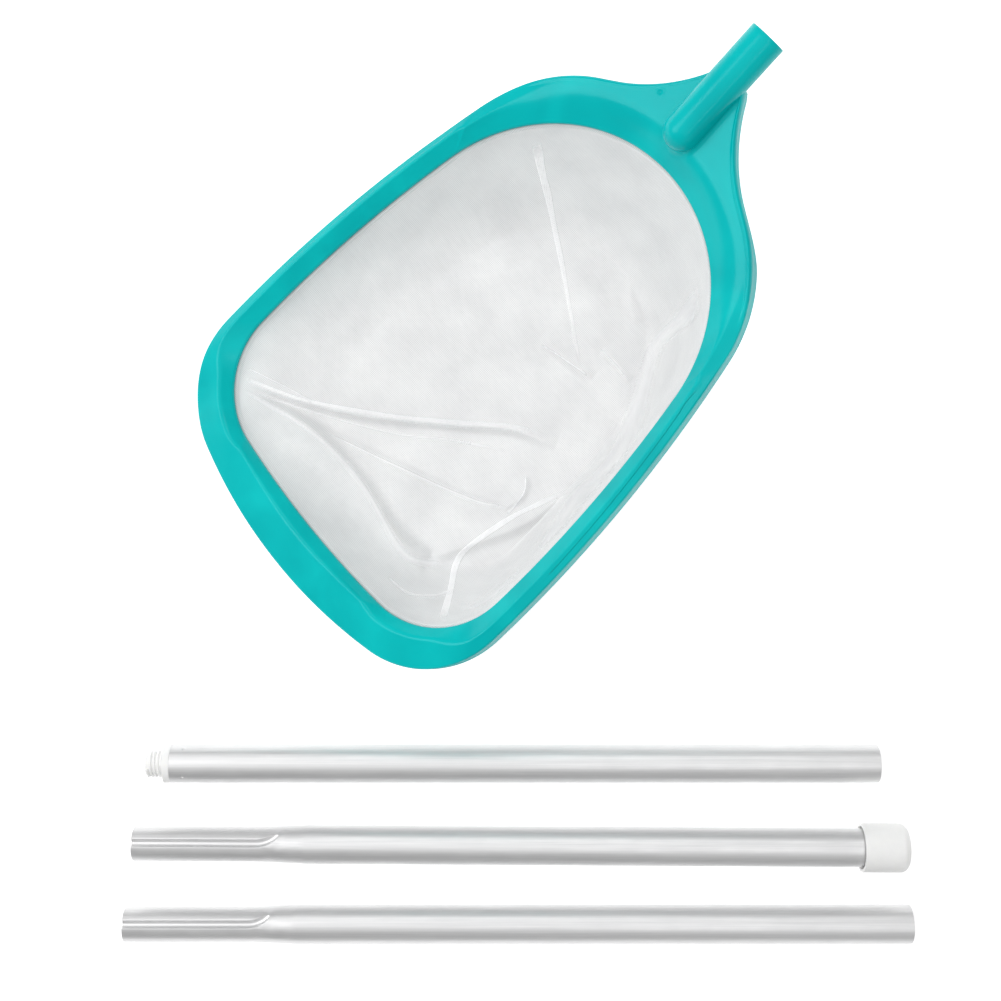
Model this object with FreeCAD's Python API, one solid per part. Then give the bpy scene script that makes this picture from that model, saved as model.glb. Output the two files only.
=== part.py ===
"""Leaf skimmer net: a moulded net head with its mesh bag, and a three-section tube pole laid out beside it.

All sizes are millimetres and all angles are degrees.  +Z is up and Z = 0 is the surface that everything lies on.
+X runs along the pole sections and +Y runs from the pole sections towards the net head.

The net head is drawn in its own frame and then turned into place.  In that frame u runs along the handle axis,
from the centre of the opening's rounded shoulder towards the handle socket, v runs to the left of the handle,
and w stands square to the net's rim, whose inner top edge is w = 0.
"""
import FreeCAD
import Part
import math
import os
from FreeCAD import Placement, Rotation, Vector

# ---------------------------------------------------------------- driving dimensions
# Opening of the head: shoulder, side, front corner and front lip, each an arc that runs on smoothly to the next.
OPENING_SHOULDER_R = 96.8       # round end beside the handle
OPENING_SIDE_R = 727.0          # bowed long side
OPENING_SIDE_TURN = 11.3        # angle that the long side bows through
OPENING_CORNER_R = 51.7         # front corner
OPENING_FRONT_TURN = 6.0        # half of the angle that the front lip bows through

# Outer edge of the head, which is made of the same kinds of arc, sized from the opening's.
SHOULDER_BAND = 22.8            # band's width beside the handle
SIDE_BOW_EXTRA = 53.0           # outer side arc's radius beyond the opening's
CORNER_EXTRA = 8.8              # outer corner arc's radius beyond the opening's
OUTER_SHOULDER_U = 30.3         # centre of the outer shoulder arc
OUTER_SHOULDER_V = 16.4
OUTER_NECK_TURN = 20.0          # the outer edge under the web bows through twice this angle
OUTER_SIDE_TURN = 14.0          # angle that the outer side bows through
OUTER_FRONT_TURN = 15.0         # half of the angle that the outer front bows through

# Section of the head's hollow band.
BAND_WALL = 2.0                 # moulding thickness
RIDGE_HEIGHT = 6.5              # ridge above the inner edge
RIDGE_SHARE = 0.57              # ridge's place across the band on the sides and shoulder
LIP_RIDGE_IN = 6.0              # ridge's distance from the inner edge on the front lip
BEVEL_DROP = 2.6                # outer edge below the ridge on the sides
SKIRT_LOW = -5.6                # bottom of the side skirt
LIP_TOP = -0.3                  # top of the thin front edge
LIP_LOW = -3.6                  # bottom of the thin front edge
LAND_WIDTH = 3.0                # flat underside beside the opening, which clamps the mesh
LIP_START = 139.0               # direction round the rim where the skirt gives way to the thin front lip
LIP_FULL = 149.0
CORNER_START = 104.0            # direction round the rim where the ridge starts to draw in to the opening
CORNER_FULL = 134.0
NECK_FULL = 29.0                # direction round the rim where the band's outer edge carries the web
NECK_START = 46.0

# Web between the band and the handle socket.
WEB_PITCH = 9.0                 # the web climbs towards the handle at this angle
WEB_START_IN = 18.8             # the web's plane meets the ridge's level this far inside the opening's edge
WEB_BLEND = 12.0                # the band's ridge takes up the climb over about this length
WEB_DEPTH = 6.0                 # depth of the web's side walls
WEB_PROUD = 0.15                # the web's top over the band's outer edge, where it is carried by it
WEB_OVERLAP = 3.0               # the web runs in over the band by this much
WEB_SWEEP_R = 100.0             # hollow curve of the web's edge
WEB_LEAVES_AT = 29.0            # direction on the outer shoulder where the web's edge starts
WEB_ENDS_AT = 28.0              # angle between the web's edge and the handle axis at the socket
WEB_END_IN = 0.7                # the web's edge ends this far inside the socket's side
RIM_RIB_WIDTH = 2.4
RIM_RIB_HEIGHT = 1.3
GATE_MARK_R = 1.3
GATE_MARK_DEPTH = 0.5
GATE_MARK_OUT = 25.2            # gate mark beyond the opening's edge, along the handle axis
GATE_MARK_V = 25.5

CLEAR_ABOVE = 60.0              # reach of the cutting shapes over and under the rim's plane
CLEAR_BELOW = 30.0

# Handle socket.
SOCKET_WALL = 2.35              # wall round the bore
SOCKET_BLIND_OUT = 18.7         # centre of the rounded blind end, beyond the opening's edge
SOCKET_BLIND_W = 15.8           # and its height over the rim
SOCKET_LENGTH = 61.7            # from the centre of the blind end to the mouth
SOCKET_PITCH = 7.5
SOCKET_BORE_DEPTH = 34.0
SOCKET_LEAD_IN = 0.8            # chamfer at the mouth

# Mesh and the pieces that hold it.
TAPE_THICKNESS = 0.9
TAPE_REACH = 5.0                # how far the hem tape goes in under the band
RING_THICKNESS = 2.5
RING_PROUD = 0.9                # the retaining ring shows this much inside the opening
LIP_RING_WIDTH = 8.0            # ring's reach under the thin front lip
LIP_RING_TURN = 26.0            # the ring narrows to it over this angle round the rim
FIT_GAP = 0.05                  # gap between pieces that are clamped together
SNAP_GAP = 0.8                  # gap between the ring and the skirt that it snaps into
MESH_WALL = 1.0                 # thickness that stands for the mesh
SEAM_HALF_TURN = 1.6            # half of a corner seam's width, as an angle round the opening
SEAM_GAP_TURN = 0.4             # gap between a seam and the panel beside it, as an angle
SHOULDER_SEAM_AT = 42.0
CORNER_SEAM_AT = 130.0
SEAM_WALL = 1.5
BAG_FLOOR_SHARE = 0.72          # size of the bag's floor beside the opening
BAG_FLOOR_U = -40.0             # point that the floor shrinks towards
BAG_FLOOR_V = -62.0

# How the head lies: it rests on its left front corner and on the floor of its bag.
HEAD_YAW = 44.04
HEAD_PITCH = 10.58
HEAD_ROLL = 17.56
HEAD_X = 17.1                   # shoulder centre, from the middle of the layout
HEAD_Y = 261.1                  # shoulder centre, from the axis of the front section

# Pole tube.
TUBE_R = 11.0
TUBE_WALL = 1.0
FRONT_LENGTH = 408.0
MIDDLE_LENGTH = 444.0
REAR_LENGTH = 454.0
SECTION_PITCH = 46.5            # spacing of the sections as laid out
FRONT_X = -190.0                # left end of each tube
MIDDLE_X = -212.0
REAR_X = -217.0
MIDDLE_YAW = -0.2

# Swaged end, which slides into the next section.
SWAGE_LENGTH = 100.0
SWAGE_TAPER = 26.0
SWAGE_CLEARANCE = 0.08
CREASE_R = 2.2
CREASE_LENGTH = 84.0
CREASE_LEAN = 15.0              # crease's place round the tube, away from the top
CREASE_TURN = 50.0              # the crease curls away sideways at its inner end
CREASE_TURN_R = 16.0

# Threaded tip at the front end.
TIP_THREAD_LENGTH = 10.4
TIP_PITCH = 2.1
TIP_CREST_R = 7.75
TIP_ROOT_R = 6.75
THREAD_SUNK = 0.3               # the thread's ridge starts this far inside the root
THREAD_BASE_SHARE = 0.84        # ridge's width at the root and at the crest, as shares of the pitch
THREAD_CREST_SHARE = 0.28
TIP_COLLAR = 4.0
TIP_PLUG = 20.0
TIP_CORE_R = 4.2                # the tip is cored from its inner end
TIP_END_WALL = 3.0
PLUG_SWELL = 0.2                # the tube is swelled by this much where the plug is driven in
THREAD_CLEARANCE = 0.1
CRIMP_X = 7.5                   # crimp dimples, from the end of the tube
CRIMP_R = 1.2
CRIMP_DEPTH = 0.45
CRIMP_PHASE = 57.0

# End cap.
CAP_WALL = 2.94
CAP_LENGTH = 26.6
CAP_FLOOR = 2.6
CAP_GRIP_CLEARANCE = 0.06
CAP_MOUTH_FLARE = 1.2
CAP_MOUTH_DEPTH = 6.0
CAP_ROUND = 5.0

# Rim directions at which the curves are drawn, for one half of the head: (from, to, how many).
DRAWN = ((0.0, 76.0, 13), (76.0, 90.0, 8), (90.0, 165.0, 20), (165.0, 180.0, 6))
SAMPLES = [low + (high - low) * i / count for low, high, count in DRAWN for i in range(count)]
POINTS_IN_SPAN = 4              # drawn directions in one edge of a rim curve


# ---------------------------------------------------------------- small helpers
def cosd(angle):
    return math.cos(math.radians(angle))


def sind(angle):
    return math.sin(math.radians(angle))


def smooth_step(value, low, high):
    """0 below low and 1 above high, with an easy curve between; low may be the larger."""
    share = min(1.0, max(0.0, (value - low) / (high - low)))
    return share * share * (3.0 - 2.0 * share)


def mix(a, b, share):
    return a + (b - a) * share


class Outline:
    """A closed curve of smooth arcs, mirrored about the handle axis and followed by its outward direction."""

    def __init__(self, shoulder, neck_turn, side_r, side_turn, corner_r, front_turn):
        centre_u, centre_v, shoulder_r = shoulder
        self.arcs = []
        if neck_turn > 0.0:
            neck_r = shoulder_r + centre_v / sind(neck_turn)
            neck_u = centre_u - (neck_r - shoulder_r) * cosd(neck_turn)
            self.arcs.append((neck_turn, neck_u, 0.0, neck_r))
        self.arcs.append((90.0 - side_turn, centre_u, centre_v, shoulder_r))
        side_u = centre_u + (shoulder_r - side_r) * sind(side_turn)
        side_v = centre_v + (shoulder_r - side_r) * cosd(side_turn)
        self.arcs.append((90.0, side_u, side_v, side_r))
        corner_v = side_v + side_r - corner_r
        self.arcs.append((180.0 - front_turn, side_u, corner_v, corner_r))
        front_r = corner_r + corner_v / sind(front_turn)
        front_u = side_u + (front_r - corner_r) * cosd(front_turn)
        self.arcs.append((180.0, front_u, 0.0, front_r))

    def point(self, direction):
        """The point whose outward direction is this many degrees from the handle axis."""
        side = -1.0 if direction < 0.0 else 1.0
        turn = abs(direction)
        for last_turn, centre_u, centre_v, radius in self.arcs:
            if turn <= last_turn:
                break
        return centre_u + radius * cosd(turn), side * (centre_v + radius * sind(turn))


OPENING = Outline((0.0, 0.0, OPENING_SHOULDER_R), 0.0, OPENING_SIDE_R, OPENING_SIDE_TURN,
                  OPENING_CORNER_R, OPENING_FRONT_TURN)
OUTER_TOP_U = OPENING_SHOULDER_R + SHOULDER_BAND
OUTER_NECK_BOW = OUTER_SHOULDER_V * math.tan(math.radians(OUTER_NECK_TURN / 2.0))
OUTER_SHOULDER_R = OUTER_TOP_U - OUTER_SHOULDER_U - OUTER_NECK_BOW
OUTER = Outline((OUTER_SHOULDER_U, OUTER_SHOULDER_V, OUTER_SHOULDER_R), OUTER_NECK_TURN,
                OPENING_SIDE_R + SIDE_BOW_EXTRA, OUTER_SIDE_TURN, OPENING_CORNER_R + CORNER_EXTRA, OUTER_FRONT_TURN)
WEB_START_U = OPENING_SHOULDER_R - WEB_START_IN
GATE_MARK_U = OPENING_SHOULDER_R + GATE_MARK_OUT
SOCKET_BLIND_U = OPENING_SHOULDER_R + SOCKET_BLIND_OUT
BORE_R = TUBE_R - TUBE_WALL
SWAGE_R = BORE_R - SWAGE_CLEARANCE
SOCKET_BORE_R = TIP_CREST_R + THREAD_CLEARANCE
SOCKET_R = SOCKET_BORE_R + SOCKET_WALL
CAP_R = TUBE_R + CAP_GRIP_CLEARANCE + CAP_WALL


def full_turn():
    """Every rim direction, once round the head."""
    return SAMPLES + [180.0] + [-angle for angle in reversed(SAMPLES[1:])]


def travel(angles):
    """Distance run along the opening's edge at each of these rim directions."""
    places = [Vector(*OPENING.point(angle), 0.0) for angle in angles]
    steps = [0.0]
    for last, here in zip(places, places[1:]):
        steps.append(steps[-1] + last.distanceToPoint(here))
    return steps


def spans(curve, stops):
    """The curve's edges between every few of its stops, so that no one edge has many bends."""
    cuts = stops[:-1:POINTS_IN_SPAN] + [stops[-1]]
    edges = []
    for start, end in zip(cuts, cuts[1:]):
        piece = curve.copy()
        piece.segment(start, end)
        edges.append(piece.toShape())
    return edges


def closed_curve(points):
    """Edges of a smooth closed curve through one point for each rim direction of the full turn."""
    curve = Part.BSplineCurve()
    stops = travel(full_turn() + [0.0])
    curve.interpolate(Points=points, Parameters=stops, PeriodicFlag=True)
    curve.setNotPeriodic()
    return spans(curve, stops)


def open_curve(points, angles):
    """Edges of a smooth curve through one point for each of the given rim directions."""
    curve = Part.BSplineCurve()
    stops = travel(angles)
    curve.interpolate(Points=points, Parameters=stops)
    return spans(curve, stops)


def solid_of(faces):
    shell = Part.makeShell(faces)
    if not shell.isValid() or not shell.isClosed():
        shell.sewShape()
    solid = Part.makeSolid(shell if shell.ShapeType == "Shell" else shell.Shells[0])
    if solid.Volume < 0.0:
        solid.reverse()
    return solid


def ruled_faces(curves):
    """Faces between each curve and the next, and between the last and the first."""
    return [Part.makeRuledSurface(edge, other) for curve, following in zip(curves, curves[1:] + curves[:1])
            for edge, other in zip(curve, following)]


def ring_solid(rails):
    """A closed ring whose section's corners follow the given closed rails, in order round the section."""
    return solid_of(ruled_faces([closed_curve(rail) for rail in rails]))


def strip_solid(angles, corners):
    """A strip whose four-sided section at each rim direction has the four corners that corners() gives."""
    rails = [list(rail) for rail in zip(*[corners(angle) for angle in angles])]
    faces = ruled_faces([open_curve(rail, angles) for rail in rails])
    for end in (0, -1):
        near = Part.makeLine(rails[0][end], rails[1][end])
        far = Part.makeLine(rails[3][end], rails[2][end])
        faces.append(Part.makeRuledSurface(near, far))
    return solid_of(faces)


# ---------------------------------------------------------------- the head's band
def web_height(u):
    """Height of the web's climbing plane at this place along the head."""
    return RIDGE_HEIGHT + math.tan(math.radians(WEB_PITCH)) * (u - WEB_START_U)


def rise(u):
    """How far the ridge has climbed towards the handle at this place along the head."""
    along = u - WEB_START_U
    return math.tan(math.radians(WEB_PITCH)) * 0.5 * (along + math.hypot(along, WEB_BLEND))


def band_point(direction, reach, height):
    """A point reach millimetres outside the opening's edge, on the line to the outer edge."""
    inner_u, inner_v = OPENING.point(direction)
    outer_u, outer_v = OUTER.point(direction)
    share = reach / math.hypot(outer_u - inner_u, outer_v - inner_v)
    return Vector(mix(inner_u, outer_u, share), mix(inner_v, outer_v, share), height)


def band_width(direction):
    inner_u, inner_v = OPENING.point(direction)
    outer_u, outer_v = OUTER.point(direction)
    return math.hypot(outer_u - inner_u, outer_v - inner_v)


def band_section(direction):
    """Corners of the band's section: (distance from the opening's edge, height), once round."""
    width = band_width(direction)
    lip = smooth_step(abs(direction), LIP_START, LIP_FULL)
    neck = smooth_step(abs(direction), NECK_START, NECK_FULL)
    corner = smooth_step(abs(direction), CORNER_START, CORNER_FULL)
    ridge_at = mix(width * RIDGE_SHARE, LIP_RIDGE_IN, corner)
    ridge = RIDGE_HEIGHT + rise(band_point(direction, ridge_at, 0.0).x)
    under_web = web_height(band_point(direction, width, 0.0).x) - WEB_PROUD
    brow = mix(mix(ridge - BEVEL_DROP, under_web, neck), LIP_TOP, lip)
    low = mix(SKIRT_LOW, LIP_LOW, lip)
    inside = width - BAND_WALL
    return [(0.0, -BAND_WALL), (0.0, 0.0), (ridge_at, ridge), (width, brow), (width, low), (inside, low),
            (inside, brow - BAND_WALL), (min(ridge_at, inside - BAND_WALL), ridge - BAND_WALL),
            (LAND_WIDTH, -BAND_WALL)]


def make_band():
    sections = [[band_point(angle, reach, height) for reach, height in band_section(angle)]
                for angle in full_turn()]
    return ring_solid([list(rail) for rail in zip(*sections)])


# ---------------------------------------------------------------- the head's web and socket
def web_edge(inset):
    """The web's hollow-curved edges as a closed face, drawn in by the given inset."""
    start_u, start_v = OUTER.point(WEB_LEAVES_AT)
    fall = 90.0 - WEB_LEAVES_AT
    end_v = SOCKET_R - WEB_END_IN
    run_down = start_v - end_v - WEB_SWEEP_R * (cosd(WEB_ENDS_AT) - cosd(fall))
    straight = run_down / sind(fall)
    bend_u = start_u + straight * cosd(fall)
    bend_v = start_v - straight * sind(fall)
    centre_u = bend_u + WEB_SWEEP_R * sind(fall)
    centre_v = bend_v + WEB_SWEEP_R * cosd(fall)
    radius = WEB_SWEEP_R + inset
    middle = 0.5 * (fall + WEB_ENDS_AT)

    def on_sweep(angle):
        return centre_u - radius * sind(angle), centre_v - radius * cosd(angle)

    shift_u, shift_v = -inset * sind(fall), -inset * cosd(fall)
    start = (start_u + shift_u, start_v + shift_v)
    bend, half_way, end = on_sweep(fall), on_sweep(middle), on_sweep(WEB_ENDS_AT)

    def at(place, side):
        return Vector(place[0], side * place[1], 0.0)

    foot_u = OUTER_TOP_U - WEB_OVERLAP
    foot = Part.Arc(at(start, 1), Vector(foot_u, 0.0, 0.0), at(start, -1)).toShape()
    edges = [Part.makeLine(at(start, 1), at(bend, 1)), Part.Arc(at(bend, 1), at(half_way, 1), at(end, 1)).toShape(),
             Part.makeLine(at(end, 1), at(end, -1)),
             Part.Arc(at(end, -1), at(half_way, -1), at(bend, -1)).toShape(),
             Part.makeLine(at(bend, -1), at(start, -1)), foot]
    return Part.Face(Part.Wire(Part.__sortEdges__(edges)))


def under_web_plane(face, lift):
    """The column over a face, cut off by the web's climbing top plane raised by lift."""
    column = face.extrude(Vector(0.0, 0.0, CLEAR_ABOVE + CLEAR_BELOW))
    column.translate(Vector(0.0, 0.0, -CLEAR_BELOW))
    size = 4.0 * OUTER_TOP_U
    above = Part.makeBox(size, size, size, Vector(-size / 2, -size / 2, 0.0))
    above.rotate(Vector(), Vector(0, 1, 0), -WEB_PITCH)
    above.translate(Vector(WEB_START_U, 0.0, RIDGE_HEIGHT + lift))
    return column.cut(above)


def make_web():
    plate = under_web_plane(web_edge(0.0), 0.0)
    plate = plate.cut(under_web_plane(web_edge(0.0), -WEB_DEPTH))
    hollow = under_web_plane(web_edge(BAND_WALL), -BAND_WALL)
    hollow = hollow.cut(under_web_plane(web_edge(BAND_WALL), -WEB_DEPTH - BAND_WALL))
    rib = under_web_plane(web_edge(0.0), RIM_RIB_HEIGHT)
    rib = rib.cut(under_web_plane(web_edge(0.0), -BAND_WALL))
    height = CLEAR_ABOVE + CLEAR_BELOW
    inner = web_edge(RIM_RIB_WIDTH).extrude(Vector(0.0, 0.0, height))
    inner.translate(Vector(0.0, 0.0, -CLEAR_BELOW))
    foot_u = OUTER.point(WEB_LEAVES_AT)[0] + RIM_RIB_WIDTH
    width = 2.0 * OUTER_TOP_U
    box = Part.makeBox(foot_u, width, height, Vector(0.0, -width / 2.0, -CLEAR_BELOW))
    return plate.cut(hollow).fuse(rib.cut(inner).cut(box))


def socket_axis():
    """The socket's blind-end centre and its direction out of the mouth."""
    return (Vector(SOCKET_BLIND_U, 0.0, SOCKET_BLIND_W), Vector(cosd(SOCKET_PITCH), 0.0, sind(SOCKET_PITCH)))


def make_frame():
    """The one-piece top moulding: band, web, rim rib and handle socket."""
    centre, along = socket_axis()
    body = make_band().fuse(make_web())
    post = Part.makeCylinder(SOCKET_R, SOCKET_LENGTH, centre, along).fuse(Part.makeSphere(SOCKET_R, centre))
    body = body.fuse(post)
    mouth = centre + along * SOCKET_LENGTH
    bore = Part.makeCylinder(SOCKET_BORE_R, SOCKET_BORE_DEPTH, mouth, along * -1.0)
    lead = Part.makeCone(SOCKET_BORE_R + SOCKET_LEAD_IN, SOCKET_BORE_R, SOCKET_LEAD_IN, mouth, along * -1.0)
    mark_up = (GATE_MARK_R ** 2 - GATE_MARK_DEPTH ** 2) / (2.0 * GATE_MARK_DEPTH)
    mark_r = mark_up + GATE_MARK_DEPTH
    mark = Part.makeSphere(mark_r, Vector(GATE_MARK_U, GATE_MARK_V, web_height(GATE_MARK_U) + mark_up))
    return body.cut(bore).cut(lead).cut(mark).removeSplitter()


# ---------------------------------------------------------------- pieces that hold the mesh
TAPE_TOP = -BAND_WALL - FIT_GAP
TAPE_LOW = TAPE_TOP - TAPE_THICKNESS
RING_TOP = TAPE_LOW - FIT_GAP
MESH_OUT = -RING_PROUD - FIT_GAP * 4.0
MESH_IN = MESH_OUT - MESH_WALL


def make_hem_tape():
    corners = [(MESH_IN, TAPE_TOP), (TAPE_REACH, TAPE_TOP), (TAPE_REACH, TAPE_LOW), (MESH_IN, TAPE_LOW)]
    return ring_solid([[band_point(angle, reach, height) for angle in full_turn()]
                       for reach, height in corners])


def make_retaining_ring():
    rails = [[], [], [], []]
    for angle in full_turn():
        lip = smooth_step(abs(angle), LIP_START - LIP_RING_TURN, LIP_START)
        reach = mix(band_width(angle) - BAND_WALL - SNAP_GAP, LIP_RING_WIDTH, lip)
        for rail, (side, height) in zip(rails, ((-RING_PROUD, RING_TOP), (reach, RING_TOP),
                                                (reach, RING_TOP - RING_THICKNESS),
                                                (-RING_PROUD, RING_TOP - RING_THICKNESS))):
            rail.append(band_point(angle, side, height))
    return ring_solid(rails)


# ---------------------------------------------------------------- the head in place
def head_placement():
    """Turns the head as it lies, and lifts it until the lowest corner of its rim meets the surface."""
    turn = Rotation(HEAD_YAW, -HEAD_PITCH, -HEAD_ROLL)
    lowest = min(turn.multVec(band_point(angle, reach, height)).z
                 for angle in full_turn() for reach, height in band_section(angle))
    return Placement(Vector(HEAD_X, HEAD_Y, -lowest), turn)


def bag_points(direction):
    """The mesh wall's top inside, top outside, foot outside and foot inside points at one rim direction."""
    place = head_placement()
    centre = place.multVec(Vector(BAG_FLOOR_U, BAG_FLOOR_V, 0.0))
    top_in = place.multVec(band_point(direction, MESH_IN, TAPE_LOW - FIT_GAP))
    top_out = place.multVec(band_point(direction, MESH_OUT, TAPE_LOW - FIT_GAP))
    outward = Vector(top_out.x - top_in.x, top_out.y - top_in.y, 0.0)
    outward.normalize()
    foot = Vector(mix(centre.x, top_in.x, BAG_FLOOR_SHARE), mix(centre.y, top_in.y, BAG_FLOOR_SHARE), 0.0)
    foot_out = foot + outward * MESH_WALL + Vector(0.0, 0.0, MESH_WALL + FIT_GAP)
    foot_in = foot + Vector(0.0, 0.0, 2.0 * MESH_WALL + FIT_GAP)
    return top_in, top_out, foot_out, foot_in


def between(low, high):
    """Rim directions from low to high, with the drawn directions that lie between them."""
    return [low] + [angle for angle in sorted(full_turn()) if low + 1.0 < angle < high - 1.0] + [high]


def make_mesh_wall(low, high):
    angles = between(low + SEAM_HALF_TURN + SEAM_GAP_TURN, high - SEAM_HALF_TURN - SEAM_GAP_TURN)
    return strip_solid(angles, bag_points)


def make_front_wall():
    """The wall under the front lip, whose rim directions run on through 180 degrees."""
    edge = CORNER_SEAM_AT + SEAM_HALF_TURN + SEAM_GAP_TURN
    left = between(edge, 180.0)
    angles = left + [-angle for angle in reversed(left[:-1])]
    return strip_solid(angles, bag_points)


def make_seam(direction):
    def corners(angle):
        top_in, top_out, foot_out, foot_in = bag_points(angle)
        inward = (top_in - top_out) * (SEAM_WALL / MESH_WALL - 1.0)
        return top_in + inward, top_out, foot_out, foot_in + inward

    return strip_solid([direction + SEAM_HALF_TURN * step / 2.0 for step in (-2, -1, 0, 1, 2)], corners)


def make_bag_floor():
    """The flat panel that lies on the surface inside the four walls' feet."""
    foot = [bag_points(angle)[2] for angle in full_turn()]
    outline = closed_curve([Vector(point.x, point.y, 0.0) for point in foot])
    return Part.Face(Part.Wire(outline)).extrude(Vector(0.0, 0.0, MESH_WALL))


# ---------------------------------------------------------------- pole sections, drawn along +X from their left end
AXIS_X = Vector(1.0, 0.0, 0.0)


def rod(radius, start, length):
    return Part.makeCylinder(radius, length, Vector(start, 0.0, 0.0), AXIS_X)


def cone(radius_start, radius_end, start, length):
    return Part.makeCone(radius_start, radius_end, length, Vector(start, 0.0, 0.0), AXIS_X)


def crimp_centres(axial, radial):
    return [Vector(axial, radial * sind(CRIMP_PHASE + 90.0 * i), radial * cosd(CRIMP_PHASE + 90.0 * i))
            for i in range(4)]


def make_front_tube():
    """The plain tube that holds the threaded tip, with four crimp dimples punched into the tip's plug."""
    tube = rod(TUBE_R, 0.0, FRONT_LENGTH)
    tube = tube.cut(rod(BORE_R, -1.0, FRONT_LENGTH + 2.0)).cut(rod(BORE_R + PLUG_SWELL, -1.0, TIP_PLUG + 1.0))
    for centre in crimp_centres(CRIMP_X, TUBE_R + CRIMP_R - CRIMP_DEPTH - 0.5 * TUBE_WALL):
        tube = tube.fuse(Part.makeSphere(CRIMP_R + 0.5 * TUBE_WALL, centre).common(rod(TUBE_R, 0.0, FRONT_LENGTH)))
    for centre in crimp_centres(CRIMP_X, TUBE_R + CRIMP_R - CRIMP_DEPTH):
        tube = tube.cut(Part.makeSphere(CRIMP_R, centre))
    return tube


def make_thread(crest_r, root_r, start, length, pitch):
    """A right-hand thread ridge, from start along -X for the given length."""
    turns_length = length - pitch
    helix = Part.makeHelix(pitch, turns_length, root_r)
    depth = crest_r - root_r
    sunk = THREAD_SUNK
    half_base = THREAD_BASE_SHARE * pitch / 2.0
    half_crest = THREAD_CREST_SHARE * pitch / 2.0
    profile = Part.makePolygon([Vector(root_r - sunk, 0, -half_base), Vector(root_r + depth, 0, -half_crest),
                                Vector(root_r + depth, 0, half_crest), Vector(root_r - sunk, 0, half_base),
                                Vector(root_r - sunk, 0, -half_base)])
    ridge = Part.Wire(helix).makePipeShell([profile], True, True)
    ridge.rotate(Vector(), Vector(0, 1, 0), -90.0)
    ridge.translate(Vector(start - 0.5 * pitch, 0.0, 0.0))
    return ridge


def make_threaded_tip():
    """White plastic tip: thread, collar and the plug that the tube is crimped onto."""
    root = rod(TIP_ROOT_R, -TIP_COLLAR - TIP_THREAD_LENGTH, TIP_THREAD_LENGTH + 0.5)
    tip = root.fuse(make_thread(TIP_CREST_R, TIP_ROOT_R, -TIP_COLLAR, TIP_THREAD_LENGTH, TIP_PITCH))
    collar = rod(TUBE_R, -TIP_COLLAR, TIP_COLLAR - FIT_GAP)
    plug = rod(BORE_R + PLUG_SWELL - FIT_GAP, -TIP_COLLAR, TIP_COLLAR + TIP_PLUG - FIT_GAP)
    tip = tip.fuse(collar).fuse(plug)
    for centre in crimp_centres(CRIMP_X, TUBE_R + CRIMP_R - CRIMP_DEPTH - 0.5 * TUBE_WALL):
        tip = tip.cut(Part.makeSphere(CRIMP_R + 0.5 * TUBE_WALL + FIT_GAP, centre))
    core_start = TIP_END_WALL - TIP_COLLAR - TIP_THREAD_LENGTH
    return tip.cut(rod(TIP_CORE_R, core_start, TIP_PLUG + 1.0 - core_start))


def crease_bar(radius):
    """A round bar along the crease, curling away sideways at its inner end."""
    height = SWAGE_R * cosd(CREASE_LEAN)
    side = SWAGE_R * sind(CREASE_LEAN)
    straight = CREASE_LENGTH - CREASE_TURN_R * sind(CREASE_TURN)
    bar = Part.makeCylinder(radius, straight + 2.0, Vector(-2.0, side, height), AXIS_X)
    ball = Part.makeSphere(radius, Vector(straight, side, height))
    curl = Part.makeTorus(CREASE_TURN_R, radius, Vector(straight, side + CREASE_TURN_R, height),
                          Vector(0, 0, 1), -180.0, 180.0, CREASE_TURN)
    curl.rotate(Vector(straight, side + CREASE_TURN_R, height), Vector(0, 0, 1), -90.0)
    return bar.fuse(ball).fuse(curl)


def make_swaged_tube(length):
    """A tube whose left end is drawn down and creased so that it slides into the next section."""
    neck_start = SWAGE_LENGTH - SWAGE_TAPER

    def revolved(inset):
        return (rod(SWAGE_R - inset, 0.0, neck_start)
                .fuse(cone(SWAGE_R - inset, TUBE_R - inset, neck_start, SWAGE_TAPER))
                .fuse(rod(TUBE_R - inset, SWAGE_LENGTH, length - SWAGE_LENGTH)))

    outside = revolved(0.0)
    tube = outside.cut(revolved(TUBE_WALL))
    bead = crease_bar(CREASE_R + TUBE_WALL).common(outside)
    return tube.fuse(bead).cut(crease_bar(CREASE_R)).removeSplitter()


def make_end_cap():
    """Soft cap pushed over the open end of the middle section, drawn with its closed end at x = 0."""
    outside = rod(CAP_R, -CAP_LENGTH, CAP_LENGTH)
    closed_rim = [edge for edge in outside.Edges
                  if abs(edge.CenterOfMass.x) < 1e-6 and edge.Curve.TypeId == "Part::GeomCircle"]
    outside = outside.makeFillet(CAP_ROUND, closed_rim)
    grip = rod(TUBE_R + CAP_GRIP_CLEARANCE, -CAP_LENGTH - 1.0, CAP_LENGTH - CAP_FLOOR + 1.0)
    flare = cone(TUBE_R + CAP_MOUTH_FLARE, TUBE_R + CAP_GRIP_CLEARANCE, -CAP_LENGTH, CAP_MOUTH_DEPTH)
    return outside.cut(grip).cut(flare)


def middle_placement():
    """The capped section leans on its cap at one end and on its drawn-down end at the other."""
    reach = MIDDLE_LENGTH + CAP_FLOOR + CAP_GRIP_CLEARANCE - CAP_LENGTH
    lean = math.degrees(math.asin((CAP_R - SWAGE_R) / reach))
    turn = Rotation(MIDDLE_YAW, -lean, 0.0)
    lift = SWAGE_R * cosd(lean)
    return Placement(Vector(MIDDLE_X, -SECTION_PITCH, lift), turn)


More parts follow.
